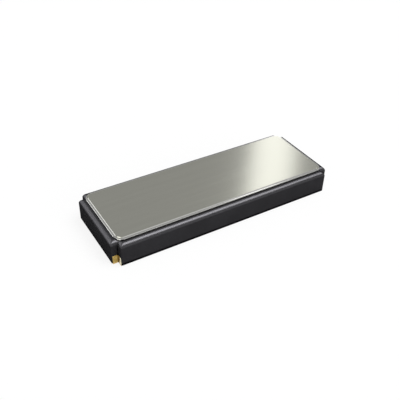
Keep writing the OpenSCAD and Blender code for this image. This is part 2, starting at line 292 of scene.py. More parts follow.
class Finish(Nodes):
    """The nodes of one material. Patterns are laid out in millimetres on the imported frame."""

    def __init__(self, name):
        self.material = bpy.data.materials.new(name)
        self.material.use_nodes = True
        super().__init__(self.material.node_tree)
        self.shader = self.tree.nodes["Principled BSDF"]
        place = self.node("ShaderNodeTexCoord", None, None, "Object")
        self.place = self.node("ShaderNodeMapping", None, {"Vector": place, "Scale": (1 / MM,) * 3})

    def surface(self, **values):
        """Sets the shader's sockets: base_color stands for Base Color."""
        for name, value in values.items():
            label = name.replace("_", " ").title().replace("Ior", "IOR")
            self.plug(self.shader.inputs[label], value)
        return self.material

    def noise(self, per_mm, detail, stretch=(1, 1, 1)):
        """Soft noise with so many lumps to the millimetre, stretched along one axis if asked."""
        place = self.place
        if stretch != (1, 1, 1):
            place = self.node("ShaderNodeMapping", None, {"Vector": place, "Scale": stretch})
        inputs = {"Vector": place, "Scale": per_mm, "Detail": detail}
        return self.node("ShaderNodeTexNoise", None, inputs, "Fac")

    def cells(self, per_mm, out="Distance"):
        """Irregular cells with so many to the millimetre: a distance, or one colour for each cell."""
        inputs = {"Vector": self.place, "Scale": per_mm}
        return self.node("ShaderNodeTexVoronoi", {"feature": "F1"}, inputs, out)

    def bump(self, height, depth):
        """A normal from a height that runs from 0 to 1 and is so many millimetres deep."""
        inputs = {"Height": height, "Distance": depth * MM, "Strength": 1.0}
        return self.node("ShaderNodeBump", None, inputs)


def shade(colour, share):
    """A colour made lighter or darker by one factor."""
    return tuple(part * share for part in colour[:3]) + (1.0,)


def from_nook(x, y):
    """How far a point is from the nearest notch's inner corner, along X or Y, whichever is more."""
    return abs(abs(x) - (BODY_L / 2 - NOTCH_L)).most(abs(abs(y) - (BODY_W / 2 - NOTCH_W)))


# Finishes

# Heights above the ceramic's underside: end of the painted shade along the foot, full colour, and the
# underside itself
FOOT_SHADE_END = 0.034
FOOT_SHADE_GONE = 0.056
UNDERSIDE = 0.0003

# Painted shade in the groove of a notch's inner corner: width of its edge, and how far below the top
# rounding it starts to fade and is gone
GROOVE_SHADE_EDGE = 0.001
GROOVE_SHADE_FADES = 0.03
GROOVE_SHADE_GONE = 0.01


def black_ceramic():
    """Black fired alumina: matte ground sides, tumbled top edges with a soft sheen, and painted shade
    along its foot and in the notches' inner-corner grooves.
    """
    finish = Finish("black ceramic")
    colour = (0.024, 0.0235, 0.0255, 1.0)
    sheen = (0.07, 0.069, 0.074, 1.0)
    x, y, z = finish.parts(finish.place)
    grain = finish.noise(per_mm=70.0, detail=4.0)
    cloud = finish.noise(per_mm=2.2, detail=2.0)
    base = finish.mix(grain, shade(colour, 0.75), shade(colour, 1.25))
    base = finish.mix(cloud.ramp(0.35, 0.7) * 0.35, base, shade(colour, 0.6))
    # Painted shade: the sides are painted dark just above the underside, where shade falls at the foot
    foot = 1 - z.ramp(BODY_LOW.z + FOOT_SHADE_END, BODY_LOW.z + FOOT_SHADE_GONE)
    foot = foot * z.above(BODY_LOW.z + UNDERSIDE)
    base = finish.mix(foot * 0.9, base, shade(colour, 0.1))
    # Painted shade: each notch's inner-corner groove is painted nearly black, up to a little below the
    # top rounding
    nook = from_nook(x, y).ramp(NOOK_GROOVE, NOOK_GROOVE + GROOVE_SHADE_EDGE)
    above = z.ramp(RIM_Z - TOP_ROUND - GROOVE_SHADE_FADES, RIM_Z - TOP_ROUND - GROOVE_SHADE_GONE)
    base = finish.mix(nook.most(above), shade(colour, 0.1), base)
    tumbled = z.ramp(RIM_Z - 0.9 * TOP_ROUND, RIM_Z - 0.4 * TOP_ROUND)
    base = finish.mix(tumbled, base, sheen)
    roughness = 0.55 + 0.2 * grain - 0.28 * tumbled
    return finish.surface(base_color=base, metallic=tumbled, roughness=roughness,
                          specular_ior_level=0.0, specular_tint=(0.2, 0.2, 0.2, 1.0),
                          normal=finish.bump(grain, depth=0.0006))


def lid_metal():
    """Satin nickel-plated lid with faint rolling streaks along its length and a paler edge, a painted
    highlight.
    """
    finish = Finish("satin nickel lid")
    colour = (0.63, 0.63, 0.56, 1.0)
    cloud_colour = (0.59, 0.59, 0.515, 1.0)
    edge_highlight_colour = (0.76, 0.76, 0.73, 1.0)
    x, y, _ = finish.parts(finish.place)
    streaks = finish.noise(per_mm=1.0, detail=4.0, stretch=(0.6, 26.0, 1.0))
    hairs = finish.noise(per_mm=1.0, detail=2.0, stretch=(3.0, 110.0, 3.0))
    cloud = finish.noise(per_mm=0.9, detail=2.0)
    base = finish.mix(streaks, shade(colour, 0.96), shade(colour, 1.04))
    base = finish.mix(cloud.ramp(0.3, 0.8) * 0.3, base, cloud_colour)
    # Painted highlight: the edge is painted a paler, whiter colour, which brightens its reflections
    edge = (abs(x) - LID_L / 2).most(abs(y) - LID_W / 2).above(-LID_HIGHLIGHT_W)
    base = finish.mix(edge, base, edge_highlight_colour)
    roughness = 0.115 + 0.045 * streaks + 0.02 * hairs
    height = 0.5 * streaks + 0.5 * hairs
    return finish.surface(base_color=base, metallic=1.0, roughness=roughness,
                          normal=finish.bump(height, depth=0.00005))


# Where gold climbs in a notch: how far inside the notch it counts, and how far above the underside
CLIMB_INSIDE = 0.03
CLIMB_FROM = 0.01

# Painted highlight: the climbing gold is painted pale and less metallic near the body's side face, as a
# light streak: where it starts and where it is full
HIGHLIGHT_STREAK_FROM = 0.06
HIGHLIGHT_STREAK_FULL = 0.04

# Painted shade: darker gold round a notch's inner corner, full up to here and gone from here. Above
# this height no gold lies near a notch
NOOK_SHADE_FULL = 0.007
NOOK_SHADE_GONE = 0.022
INSIDE_Z = 0.2


def plated_gold():
    """Matte gold plated over nickel: fine grain, slight thickness clouds; in the notches spotted and
    painted darker as shade, with a painted highlight streak and painted shade round the inner corner.
    """
    finish = Finish("plated gold")
    colour = (0.6, 0.42, 0.16, 1.0)
    dark_spot = (0.35, 0.24, 0.062, 1.0)
    pale_spot = (0.5, 0.36, 0.13, 1.0)
    highlight_streak_colour = (0.86, 0.8, 0.58, 1.0)
    nook_shade_colour = (0.09, 0.055, 0.015, 1.0)
    x, y, z = finish.parts(finish.place)
    grain = finish.noise(per_mm=90.0, detail=3.0)
    cloud = finish.noise(per_mm=22.0, detail=3.0)
    base = finish.mix(cloud.ramp(0.3, 0.7), shade(colour, 0.72), shade(colour, 1.12))
    climbing = abs(x).above(BODY_L / 2 - NOTCH_L - CLIMB_INSIDE) * z.above(BODY_LOW.z + CLIMB_FROM)
    # Painted shade: the gold climbing in a notch is painted darker than the rest, with random spots
    shaded_spots = finish.mix(cloud.ramp(0.45, 0.65), dark_spot, pale_spot)
    base = finish.mix(climbing, base, shaded_spots)
    # Painted highlight: a pale streak painted on the notch gold near the body's side face
    highlight_streak = climbing * abs(y).ramp(BODY_W / 2 - HIGHLIGHT_STREAK_FROM, BODY_W / 2 - HIGHLIGHT_STREAK_FULL)
    base = finish.mix(highlight_streak, base, highlight_streak_colour)
    # Painted shade: the gold is painted nearly black round each notch's inner corner
    nook = from_nook(x, y).ramp(NOOK_SHADE_FULL, NOOK_SHADE_GONE)
    base = finish.mix(nook.most(z.above(INSIDE_Z)), nook_shade_colour, base)
    roughness = 0.34 + 0.16 * (grain - 0.5)
    return finish.surface(base_color=base, metallic=1 - 0.85 * highlight_streak, roughness=roughness,
                          normal=finish.bump(grain, depth=0.0006))


def drawn_gold():
    """Bright gold wire with faint drawing lines."""
    finish = Finish("drawn gold wire")
    colour = (0.83, 0.6, 0.22, 1.0)
    lines = finish.noise(per_mm=60.0, detail=2.0)
    base = finish.mix(lines, shade(colour, 0.92), shade(colour, 1.06))
    return finish.surface(base_color=base, metallic=1.0, roughness=0.2 + 0.1 * lines,
                          normal=finish.bump(lines, depth=0.0002))


def fired_tungsten():
    """Grainy grey metal paste fired into the plug holes."""
    finish = Finish("fired tungsten")
    dark = (0.2, 0.2, 0.205, 1.0)
    pale = (0.4, 0.4, 0.41, 1.0)
    grains = finish.cells(per_mm=110.0)
    cloud = finish.noise(per_mm=25.0, detail=3.0)
    base = finish.mix(grains, dark, pale)
    return finish.surface(base_color=base, metallic=0.8, roughness=0.5 + 0.25 * (cloud - 0.5),
                          normal=finish.bump(grains, depth=0.0015))


def solder_metal():
    """Gold-tin solder, once molten: smooth with a faint frosting."""
    finish = Finish("gold-tin solder")
    dull = (0.5, 0.47, 0.38, 1.0)
    bright = (0.62, 0.58, 0.46, 1.0)
    frost = finish.noise(per_mm=60.0, detail=4.0)
    ripple = finish.noise(per_mm=12.0, detail=1.0)
    base = finish.mix(frost, dull, bright)
    return finish.surface(base_color=base, metallic=1.0, roughness=0.3 + 0.15 * frost,
                          normal=finish.bump(ripple, depth=0.001))


def etched_quartz():
    """Clear quartz with finely etched sides."""
    finish = Finish("etched quartz")
    clouded = (0.86, 0.9, 0.93, 1.0)
    clear = (0.95, 0.97, 0.99, 1.0)
    etch = finish.noise(per_mm=45.0, detail=4.0, stretch=(0.2, 1.0, 1.0))
    base = finish.mix(etch, clouded, clear)
    return finish.surface(base_color=base, roughness=0.06 + 0.12 * etch, ior=1.54,
                          transmission_weight=0.9, normal=finish.bump(etch, depth=0.0003))


def evaporated_film():
    """Thin evaporated metal on the fork."""
    finish = Finish("evaporated film")
    thin = (0.68, 0.6, 0.42, 1.0)
    thick = (0.8, 0.73, 0.54, 1.0)
    haze = finish.noise(per_mm=18.0, detail=3.0)
    grain = finish.noise(per_mm=120.0, detail=2.0)
    base = finish.mix(haze, thin, thick)
    return finish.surface(base_color=base, metallic=1.0, roughness=0.14 + 0.1 * haze,
                          normal=finish.bump(grain, depth=0.0001))


def silver_glue():
    """Silver flakes in a grey resin."""
    finish = Finish("silver-filled glue")
    resin = (0.3, 0.29, 0.27, 1.0)
    silver = (0.72, 0.71, 0.68, 1.0)
    flakes = finish.cells(per_mm=85.0, out="Color")
    chance = finish.parts(flakes)[0]
    metal = chance.ramp(0.35, 0.5)
    base = finish.mix(metal, resin, silver)
    return finish.surface(base_color=base, metallic=metal * 0.85, roughness=0.62 - 0.2 * metal,
                          normal=finish.bump(chance, depth=0.002))


def polished_silicon():
    """Silicon chip: blue-grey, with plain blocks of circuit fields in rows on its face."""
    finish = Finish("polished silicon")
    blue_field = (0.09, 0.12, 0.2, 1.0)
    violet_field = (0.16, 0.14, 0.24, 1.0)
    street = (0.3, 0.31, 0.34, 1.0)
    line_colour = (0.4, 0.42, 0.46, 1.0)
    fields = finish.node("ShaderNodeTexBrick", {"offset": 0.37, "squash": 0.7, "squash_frequency": 3},
                         {"Vector": finish.place, "Color1": blue_field, "Color2": violet_field,
                          "Mortar": street, "Scale": 1.0, "Mortar Size": 0.003,
                          "Brick Width": 0.13, "Row Height": 0.07})
    rows = finish.node("ShaderNodeTexWave", {"bands_direction": "Y"},
                       {"Vector": finish.place, "Scale": 26.0, "Distortion": 0.0}, "Fac")
    base = finish.mix(0.25 * rows, fields, line_colour)
    return finish.surface(base_color=base, metallic=0.35, roughness=0.16 + 0.12 * rows,
                          normal=finish.bump(rows, depth=0.0002))


def contact_metal():
    """Aluminium contact squares with a crystalline grain."""
    finish = Finish("contact aluminium")
    dark = (0.72, 0.73, 0.75, 1.0)
    pale = (0.86, 0.87, 0.88, 1.0)
    grains = finish.cells(per_mm=150.0, out="Color")
    tint = finish.parts(grains)[0]
    base = finish.mix(tint, dark, pale)
    return finish.surface(base_color=base, metallic=1.0, roughness=0.28 + 0.14 * tint,
                          normal=finish.bump(tint, depth=0.0003))


FINISHES = {
    "black_ceramic": black_ceramic(),
    "lid_metal": lid_metal(),
    "gold_plate": plated_gold(),
    "gold_wire": drawn_gold(),
    "fired_tungsten": fired_tungsten(),
    "seal_solder": solder_metal(),
    "quartz": etched_quartz(),
    "electrode_film": evaporated_film(),
    "silver_glue": silver_glue(),
    "silicon": polished_silicon(),
    "contact_metal": contact_metal(),
}


# Outlines, as lists of (x, y) running counter-clockwise seen from above


def arc(centre, radius, start, end, steps):
    """Points on an arc, both ends included. Angles in quarter turns."""
    points = []
    for i in range(steps + 1):
        turn = QUARTER * (start + (end - start) * i / steps)
        points.append((centre[0] + radius * math.cos(turn), centre[1] + radius * math.sin(turn)))
    return points


def round_rect(length, width, radius, steps=16):
    """Rectangle with round corners. Each arc has a point close before and after it, which keeps
    the straight sides' shading flat."""
    points = []
    for k, (sx, sy) in enumerate(((1, 1), (-1, 1), (-1, -1), (1, -1))):
        centre = (sx * (length / 2 - radius), sy * (width / 2 - radius))
        turned = arc(centre, radius, k, k + 1, steps)
        back = (math.sin(QUARTER * k), -math.cos(QUARTER * k))
        ahead = (-math.cos(QUARTER * k), -math.sin(QUARTER * k))
        points.append((turned[0][0] + HOLD * back[0], turned[0][1] + HOLD * back[1]))
        points += turned
        points.append((turned[-1][0] + HOLD * ahead[0], turned[-1][1] + HOLD * ahead[1]))
    return points


def ring(outline, z):
    return [(x, y, z) for x, y in outline]


def notched_corner(inset, groove):
    """Outline of the body round its back right notch, counter-clockwise: outer edge, nook, outer
    edge. Inset moves it inwards. Groove runs from 0, a rounded nook, to 1, a nook with a groove."""
    outer_r = CORNER_ROUND + CORNER_GROWTH * inset
    nook_r = NOOK_ROUND + NOOK_GROWTH * inset
    side_x = BODY_L / 2 - inset
    side_y = BODY_W / 2 - inset
    nook_x = side_x - NOTCH_L
    nook_y = side_y - NOTCH_W
    edge_steps = 8
    nook_steps = 18
    first = arc((side_x - outer_r, nook_y - outer_r), outer_r, 0, 1, edge_steps)
    rounded = arc((nook_x + nook_r, nook_y + nook_r), nook_r, 3, 2, nook_steps)
    grooved = arc((nook_x, nook_y), NOOK_GROOVE, 4, 1, nook_steps)
    nook = [(a[0] + (b[0] - a[0]) * groove, a[1] + (b[1] - a[1]) * groove)
            for a, b in zip(rounded, grooved)]
    last = arc((nook_x - outer_r, side_y - outer_r), outer_r, 0, 1, edge_steps)
    wide = max(nook_r, NOOK_GROOVE)
    return ([(side_x, nook_y - outer_r - HOLD)] + first + [(side_x - outer_r - HOLD, nook_y)]
            + [(nook_x + wide + HOLD, nook_y)] + nook + [(nook_x, nook_y + wide + HOLD)]
            + [(nook_x, side_y - outer_r - HOLD)] + last + [(nook_x - outer_r - HOLD, side_y)])


def notched_outline(inset, groove):
    """Outline of the body with its four notches."""
    corner = notched_corner(inset, groove)
    flipped = corner[::-1]
    return (corner + [(-x, y) for x, y in flipped] + [(-x, -y) for x, y in corner]
            + [(x, -y) for x, y in flipped])


# Meshes, built in millimetres and brought to metres at the end


def skin(bm, rings):
    """Adds rings of equally many points and the faces between neighbours."""
    rows = [[bm.verts.new(point) for point in one] for one in rings]
    for lower, upper in zip(rows, rows[1:]):
        for i in range(len(lower)):
            j = (i + 1) % len(lower)
            bm.faces.new((lower[i], lower[j], upper[j], upper[i]))
    return rows


def fill(bm, *loops):
    """Closes the flat area between an outer loop and the loops inside it."""
    edges = []
    for loop in loops:
        for a, b in zip(loop, loop[1:] + loop[:1]):
            edges.append(bm.edges.get((a, b)) or bm.edges.new((a, b)))
    bmesh.ops.triangle_fill(bm, use_beauty=True, edges=edges)


def to_mesh(bm, name, smooth_below=SMOOTH):
    """Turns a closed build into a mesh in metres, smooth except across its sharper edges."""
    bmesh.ops.recalc_face_normals(bm, faces=bm.faces)
    mesh = bpy.data.meshes.new(name)
    bm.to_mesh(mesh)
    bm.free()
    return brought_to_metres(mesh, smooth_below)


def brought_to_metres(mesh, smooth_below=SMOOTH):
    """Scales a mesh built in millimetres and sets which of its edges are smooth."""
    mesh.transform(Matrix.Scale(MM, 4))
    mesh.shade_smooth()
    mesh.set_sharp_from_angle(angle=math.radians(smooth_below))
    return mesh


def make_piece(name, mesh, slot, *nodes):
    """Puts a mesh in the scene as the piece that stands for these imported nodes."""
    piece = bpy.data.objects.new(name, mesh)
    bpy.context.scene.collection.objects.link(piece)
    mesh.materials.clear()
    mesh.materials.append(FINISHES[slot])
    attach(piece, "root")
    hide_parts(*nodes)
    return piece


def ceramic_body():
    """One fired piece: notched outside with rounded top edges, cavity, pedestal and plug holes."""
    bm = bmesh.new()
    bottom = BODY_LOW.z
    round_z = RIM_Z - TOP_ROUND
    foot_step = 0.3 * FOOT_ROUND
    rings = [ring(notched_outline(FOOT_ROUND, 1.0), bottom),
             ring(notched_outline(foot_step, 1.0), bottom + foot_step),
             ring(notched_outline(0.0, 1.0), bottom + FOOT_ROUND),
             ring(notched_outline(0.0, 1.0), round_z - NOOK_GROOVE_TOP)]
    groove_steps = 4
    for i in range(1, groove_steps + 1):
        left = 1 - i / groove_steps
        rings.append(ring(notched_outline(0.0, left), round_z - NOOK_GROOVE_TOP * left - HOLD))
    round_steps = 12
    for i in range(round_steps + 1):
        turn = QUARTER * i / round_steps
        inset = TOP_ROUND * (1 - math.cos(turn))
        rings.append(ring(notched_outline(inset, 0.0), round_z + TOP_ROUND * math.sin(turn)))
    rings.append(ring(notched_outline(TOP_ROUND + HOLD, 0.0), RIM_Z))
    outside = skin(bm, rings)

    cavity = round_rect(CAVITY_L, CAVITY_W, CAVITY_ROUND)
    walls = skin(bm, [ring(cavity, FLOOR_Z), ring(cavity, RIM_Z)])
    fill(bm, outside[-1], walls[-1])

    holes_below = []
    holes_above = []
    for sx, sy in TERMINALS.values():
        hole = arc((sx * VIA_X, sy * VIA_Y), VIA_D / 2, 0, 4, steps=32)[:-1]
        rows = skin(bm, [ring(hole, bottom), ring(hole, FLOOR_Z)])
        holes_below.append(rows[0])
        holes_above.append(rows[1])
    fill(bm, outside[0], *holes_below)

    block = [(PEDESTAL_X0, -PEDESTAL_Y), (PEDESTAL_X1, -PEDESTAL_Y), (PEDESTAL_X1, PEDESTAL_Y),
             (PEDESTAL_X0, PEDESTAL_Y)]
    pedestal = skin(bm, [ring(block, FLOOR_Z), ring(block, PEDESTAL_Z)])
    bm.faces.new(pedestal[1])
    fill(bm, walls[0], pedestal[0], *holes_above)
    return make_piece("ceramic_body", to_mesh(bm, "ceramic body"), "black_ceramic", "ceramic_base")


def lid_plate():
    """Thin plate whose edge steps up to its flat middle."""
    bm = bmesh.new()
    thick = LID_HIGH.z - LID_LOW.z
    rings = []
    for inset, share in LID_EDGE:
        outline = round_rect(LID_L - 2 * inset, LID_W - 2 * inset, LID_ROUND - inset, steps=24)
        rings.append(ring(outline, LID_LOW.z + share * thick))
    rows = skin(bm, rings)
    bm.faces.new(rows[0])
    bm.faces.new(rows[-1])
    mesh = to_mesh(bm, "lid plate", smooth_below=LID_SMOOTH)
    return make_piece("lid_plate", mesh, "lid_metal", "lid")


def bevelled(bm, name, radius, segments=2):
    """Merges and flattens a closed build, softens its sharp edges and turns it into a mesh."""
    bmesh.ops.remove_doubles(bm, verts=bm.verts, dist=MERGED)
    bmesh.ops.dissolve_limit(bm, angle_limit=math.radians(FLAT), verts=bm.verts, edges=bm.edges)
    bmesh.ops.recalc_face_normals(bm, faces=bm.faces)
    sharp = [edge for edge in bm.edges if edge.calc_face_angle(0) > math.radians(SHARP)]
    bmesh.ops.bevel(bm, geom=sharp, offset=radius, segments=segments, profile=0.5, affect="EDGES",
                    clamp_overlap=True)
    return to_mesh(bm, name)


def softened(node, slot, radius, segments=2):
    """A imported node's own shape with slightly rounded edges."""
    mesh = frame["nodes"][node].data.copy()
    mesh.transform(Matrix.Scale(1 / MM, 4))
    bm = bmesh.new()
    bm.from_mesh(mesh)
    bpy.data.meshes.remove(mesh)
    soft = bevelled(bm, node.replace("_", " "), radius, segments)
    return make_piece("soft_" + node, soft, slot, node)


def seal_frame(node, slot, edge):
    """Flat frame between rim and lid. Edge lists (inset, height share) from its foot to its top."""
    low, high = span(node)
    bm = bmesh.new()
    outer = []
    inner = []
    for inset, share in edge:
        z = low.z + share * (high.z - low.z)
        outer.append(ring(round_rect(high.x - low.x - 2 * inset, high.y - low.y - 2 * inset,
                                     SEAL_ROUND - inset), z))
        lip = SEAL_LIP + inset
        inner.append(ring(round_rect(CAVITY_L + 2 * lip, CAVITY_W + 2 * lip, CAVITY_ROUND + lip), z))
    outside = skin(bm, outer)
    window = skin(bm, inner)
    fill(bm, outside[0], window[0])
    fill(bm, outside[-1], window[-1])
    return make_piece(node + "_frame", to_mesh(bm, node.replace("_", " ")), slot, node)


def glue_dot(node):
    """Dot of thick glue, pressed out between land and fork."""
    low, high = span(node)
    centre = (low + high) / 2
    bm = bmesh.new()
    rings = []
    steps = 8
    for i in range(steps + 1):
        height = -1 + 2 * i / steps
        radius = GLUE_D / 2 - GLUE_BULGE * (1 - math.sqrt(1 - GLUE_ROUND * height * height))
        outline = []
        for x, y in arc((0, 0), radius, 0, 4, steps=48)[:-1]:
            turn = math.atan2(y, x)
            swell = 1 - GLUE_WAVE * (1 + math.sin(GLUE_WAVES * turn + GLUE_TURN * centre.y))
            outline.append((centre.x + x * swell, centre.y + y * swell))
        rings.append(ring(outline, centre.z + height * (high.z - low.z) / 2))
    rows = skin(bm, rings)
    bm.faces.new(rows[0])
    bm.faces.new(rows[-1])
    return make_piece(node + "_pressed", to_mesh(bm, node.replace("_", " ")), "silver_glue", node)


def fork_outline():
    """Half of the fork's outline, from the middle of the crotch round the back arm to the base."""
    root_x = FORK_LOW.x + FORK_BASE_L
    arm_y = ARM_GAP / 2 + ARM_W
    neck_x = root_x - NECK_BACK - NECK_L
    crotch = arc((root_x + ARM_GAP / 2, 0), ARM_GAP / 2, 2, 1, steps=16)
    neck = [(neck_x + NECK_L, arm_y), (neck_x + NECK_L, arm_y - NECK_IN), (neck_x, arm_y - NECK_IN),
            (neck_x, FORK_HIGH.y)]
    tip = [(FORK_HIGH.x, ARM_GAP / 2), (FORK_HIGH.x, arm_y)]
    return crotch + tip + neck + [(FORK_LOW.x, FORK_HIGH.y)]


def tuning_fork():
    """Flat etched fork with two arms, a round crotch and a notched neck."""
    half = fork_outline()
    outline = half + [(x, -y) for x, y in half[:0:-1]]
    bm = bmesh.new()
    rows = skin(bm, [ring(outline, FORK_LOW.z), ring(outline, FORK_HIGH.z)])
    bm.faces.new(rows[0])
    bm.faces.new(rows[-1])
    mesh = bevelled(bm, "etched fork", radius=0.0025)
    return make_piece("etched_fork", mesh, "quartz", "tuning_fork")


class Shape(Nodes):
    """A Geometry Nodes group with named sizes. Each piece made with it gives them its own values."""

    def __init__(self, name, **sizes):
        super().__init__(bpy.data.node_groups.new(name, "GeometryNodeTree"))
        face = self.tree.interface
        face.new_socket(name="Geometry", in_out="OUTPUT", socket_type="NodeSocketGeometry")
        self.identifiers = {}
        for label, value in sizes.items():
            kind = "NodeSocketVector" if isinstance(value, tuple) else "NodeSocketFloat"
            socket = face.new_socket(name=label, in_out="INPUT", socket_type=kind)
            socket.default_value = value
            self.identifiers[label] = socket.identifier
        entry = self.tree.nodes.new("NodeGroupInput")
        self.sizes = {label: Value(self, entry.outputs[label]) for label in sizes}

    def close(self, geometry, slot):
        """Ends the group: everything becomes real mesh with the slot's material."""
        whole = self.node("GeometryNodeRealizeInstances", None, {0: geometry})
        painted = self.node("GeometryNodeSetMaterial", None,
                            {"Geometry": whole, "Material": FINISHES[slot]})
        self.plug(self.tree.nodes.new("NodeGroupOutput").inputs[0], painted)

    def mesh(self, name, **values):
        """The shape with these sizes, as a plain mesh in millimetres."""
        carrier = bpy.data.objects.new(name, bpy.data.meshes.new(name))
        bpy.context.scene.collection.objects.link(carrier)
        modifier = carrier.modifiers.new(name, "NODES")
        modifier.node_group = self.tree
        for label, value in values.items():
            modifier[self.identifiers[label]] = value
        depsgraph = bpy.context.evaluated_depsgraph_get()
        mesh = bpy.data.meshes.new_from_object(carrier.evaluated_get(depsgraph), depsgraph=depsgraph)
        bpy.data.objects.remove(carrier)
        return mesh


def wire_shape():
    """Ball, loop and foot of a bond wire, drawn as one swept curve."""
    steps = 72
    shape = Shape("bond wire", start=(0.0, 0.0, 0.0), turn=(0.0, 0.0, 0.0), reach=0.3, drop=0.1,
                  wire_d=WIRE_D, ball_d=BALL_D, ball_h=BALL_H, loop_h=LOOP_H, foot_l=FOOT_L)
    size = shape.sizes
    share = shape.node("GeometryNodeInputIndex") / steps
    rise = share.ramp(0.0, RISEN, smooth=False)
    bend = share.ramp(RISEN, TURNED, smooth=False) * QUARTER
    fall = share.ramp(TURNED, LANDED, smooth=False)
    soft_fall = share.ramp(TURNED, LANDED)
    slide = share.ramp(LANDED, 1.0, smooth=False)
    base = size["ball_h"] + size["wire_d"] / 2
    crest = size["ball_h"] + size["loop_h"]
    first = size["reach"] * TURN_SHARE
    along = first * (1 - bend.cosine()) + (size["reach"] - first) * fall + size["foot_l"] * slide
    up = base * rise + (crest - base) * bend.sine() - (crest + size["drop"]) * soft_fall
    line = shape.node("GeometryNodeCurvePrimitiveLine", None,
                      {"Start": (0.0, 0.0, 0.0), "End": (1.0, 0.0, 0.0)})
    line = shape.node("GeometryNodeResampleCurve", None, {"Curve": line, "Count": steps + 1})
    line = shape.node("GeometryNodeSetPosition", None,
                      {"Geometry": line, "Position": shape.point(along, 0.0, up)})
    in_ball = rise * base / size["ball_h"]
    swell = (1 - abs(BALL_SPREAD * in_ball - BALL_MIDDLE).power(BALL_FULLNESS)).most(0.0)
    radius = (size["wire_d"] + (size["ball_d"] - size["wire_d"]) * swell) / 2
    profile = shape.node("GeometryNodeCurvePrimitiveCircle", None, {"Resolution": 16, "Radius": 1.0})
    tube = shape.node("GeometryNodeCurveToMesh", None,
                      {"Curve": line, "Profile Curve": profile, "Scale": radius, "Fill Caps": True})
    placed = shape.node("GeometryNodeTransform", None,
                        {"Geometry": tube, "Translation": size["start"], "Rotation": size["turn"]})
    shape.close(placed, "gold_wire")
    return shape


def bond_wire(shape, node, start, end, end_z):
    """One wire from a contact square to the place where its foot ends."""
    step = Vector(end) - Vector(start)
    turn = (0.0, 0.0, math.atan2(step.y, step.x))
    mesh = shape.mesh(node, start=(start[0], start[1], CONTACT_Z), turn=turn,
                      reach=step.length - FOOT_L, drop=CONTACT_Z - end_z - WIRE_D / 2)
    return make_piece("looped_" + node, brought_to_metres(mesh), "gold_wire", node)


def bond_wires():
    """Six wires: two to the left lands, two to the long traces, two to the crystal's lands."""
    shape = wire_shape()
    trace_high = span("floor_trace_output")[1]
    land_low, land_high = span("floor_trace_supply")
    land_y = land_high.y - LEFT_FOOT_SHARE * (land_high.y - land_low.y)
    trace_y = trace_high.y - TRACE_W / 2 + FOOT_L / 2
    crystal_x = LAND_LOW.x + WIRE_D + FOOT_L
    sides = ((-1, "enable", "ground", "crystal_in"), (1, "supply", "output", "crystal_out"))
    for side, left, middle, right in sides:
        bond_wire(shape, "bond_wire_" + left, (2 * CHIP_MID_X - CONTACT_X, side * SIDE_CONTACT_Y),
                  (-VIA_X, side * land_y), land_high.z)
        bond_wire(shape, "bond_wire_" + middle, (CHIP_MID_X, side * SIDE_CONTACT_Y),
                  (CHIP_MID_X, side * trace_y), trace_high.z)
        bond_wire(shape, "bond_wire_" + right, (CONTACT_X, side * CRYSTAL_WIRE_Y),
                  (crystal_x, side * CRYSTAL_WIRE_Y), LAND_HIGH.z)


def plug_shape():
    """A fired plug, whose ends sank a little as the paste shrank."""
    shape = Shape("fired plug", place=(0.0, 0.0, 0.0), plug_d=VIA_D, plug_h=0.1, dish=0.003)
    size = shape.sizes
    body = shape.node("GeometryNodeMeshCylinder", {"fill_type": "TRIANGLE_FAN"},
                      {"Vertices": 32, "Side Segments": 2, "Fill Segments": 5,
                       "Radius": size["plug_d"] / 2, "Depth": size["plug_h"]})
    x, y, z = shape.parts(shape.node("GeometryNodeInputPosition"))
    out = (x * x + y * y) / (size["plug_d"] * size["plug_d"] / 4)
    sink = z * (-2.0) / size["plug_h"] * size["dish"] * (1 - out).most(0.0)
    body = shape.node("GeometryNodeSetPosition", None,
                      {"Geometry": body, "Offset": shape.point(0.0, 0.0, sink)})
    placed = shape.node("GeometryNodeTransform", None,
                        {"Geometry": body, "Translation": size["place"]})
    shape.close(placed, "fired_tungsten")
    return shape


def via_plugs():
    """One plug below each terminal's trace."""
    shape = plug_shape()
    for terminal in TERMINALS:
        node = "via_" + terminal
        low, high = span(node)
        mesh = shape.mesh(node, place=tuple((low + high) / 2), plug_d=high.x - low.x,
                          plug_h=high.z - low.z)
        make_piece("fired_" + node, brought_to_metres(mesh), "fired_tungsten", node)


def chip_contacts():
    """Six squares: a grid of three columns, the last one with its rows closer together."""
    shape = Shape("contact squares", middle=(0.0, 0.0, 0.0), half_l=0.3, side_y=0.22, crystal_y=0.11,
                  square=(0.06, 0.06, 0.003))
    size = shape.sizes
    grid = shape.node("GeometryNodeMeshGrid", None,
                      {"Size X": 2.0, "Size Y": 2.0, "Vertices X": 3, "Vertices Y": 2})
    x, y, _ = shape.parts(shape.node("GeometryNodeInputPosition"))
    rows = size["side_y"] + (size["crystal_y"] - size["side_y"]) * x.above(0.5)
    points = shape.node("GeometryNodeSetPosition", None,
                        {"Geometry": grid, "Position": shape.point(x * size["half_l"], y * rows, 0.0)})
    square = shape.node("GeometryNodeMeshCube", None, {"Size": size["square"]})
    squares = shape.node("GeometryNodeInstanceOnPoints", None, {"Points": points, "Instance": square})
    placed = shape.node("GeometryNodeTransform", None,
                        {"Geometry": squares, "Translation": size["middle"]})
    shape.close(placed, "contact_metal")
    mesh = shape.mesh("contact squares", middle=(CHIP_MID_X, 0.0, CONTACT_Z - CONTACT_T / 2),
                      half_l=CONTACT_X - CHIP_MID_X, side_y=SIDE_CONTACT_Y, crystal_y=CRYSTAL_WIRE_Y,
                      square=(CONTACT, CONTACT, CONTACT_T))
    bm = bmesh.new()
    bm.from_mesh(mesh)
    bpy.data.meshes.remove(mesh)
    mesh = bevelled(bm, "contact squares", radius=0.0008)
    make_piece("contact_squares", mesh, "contact_metal", "chip_contacts")


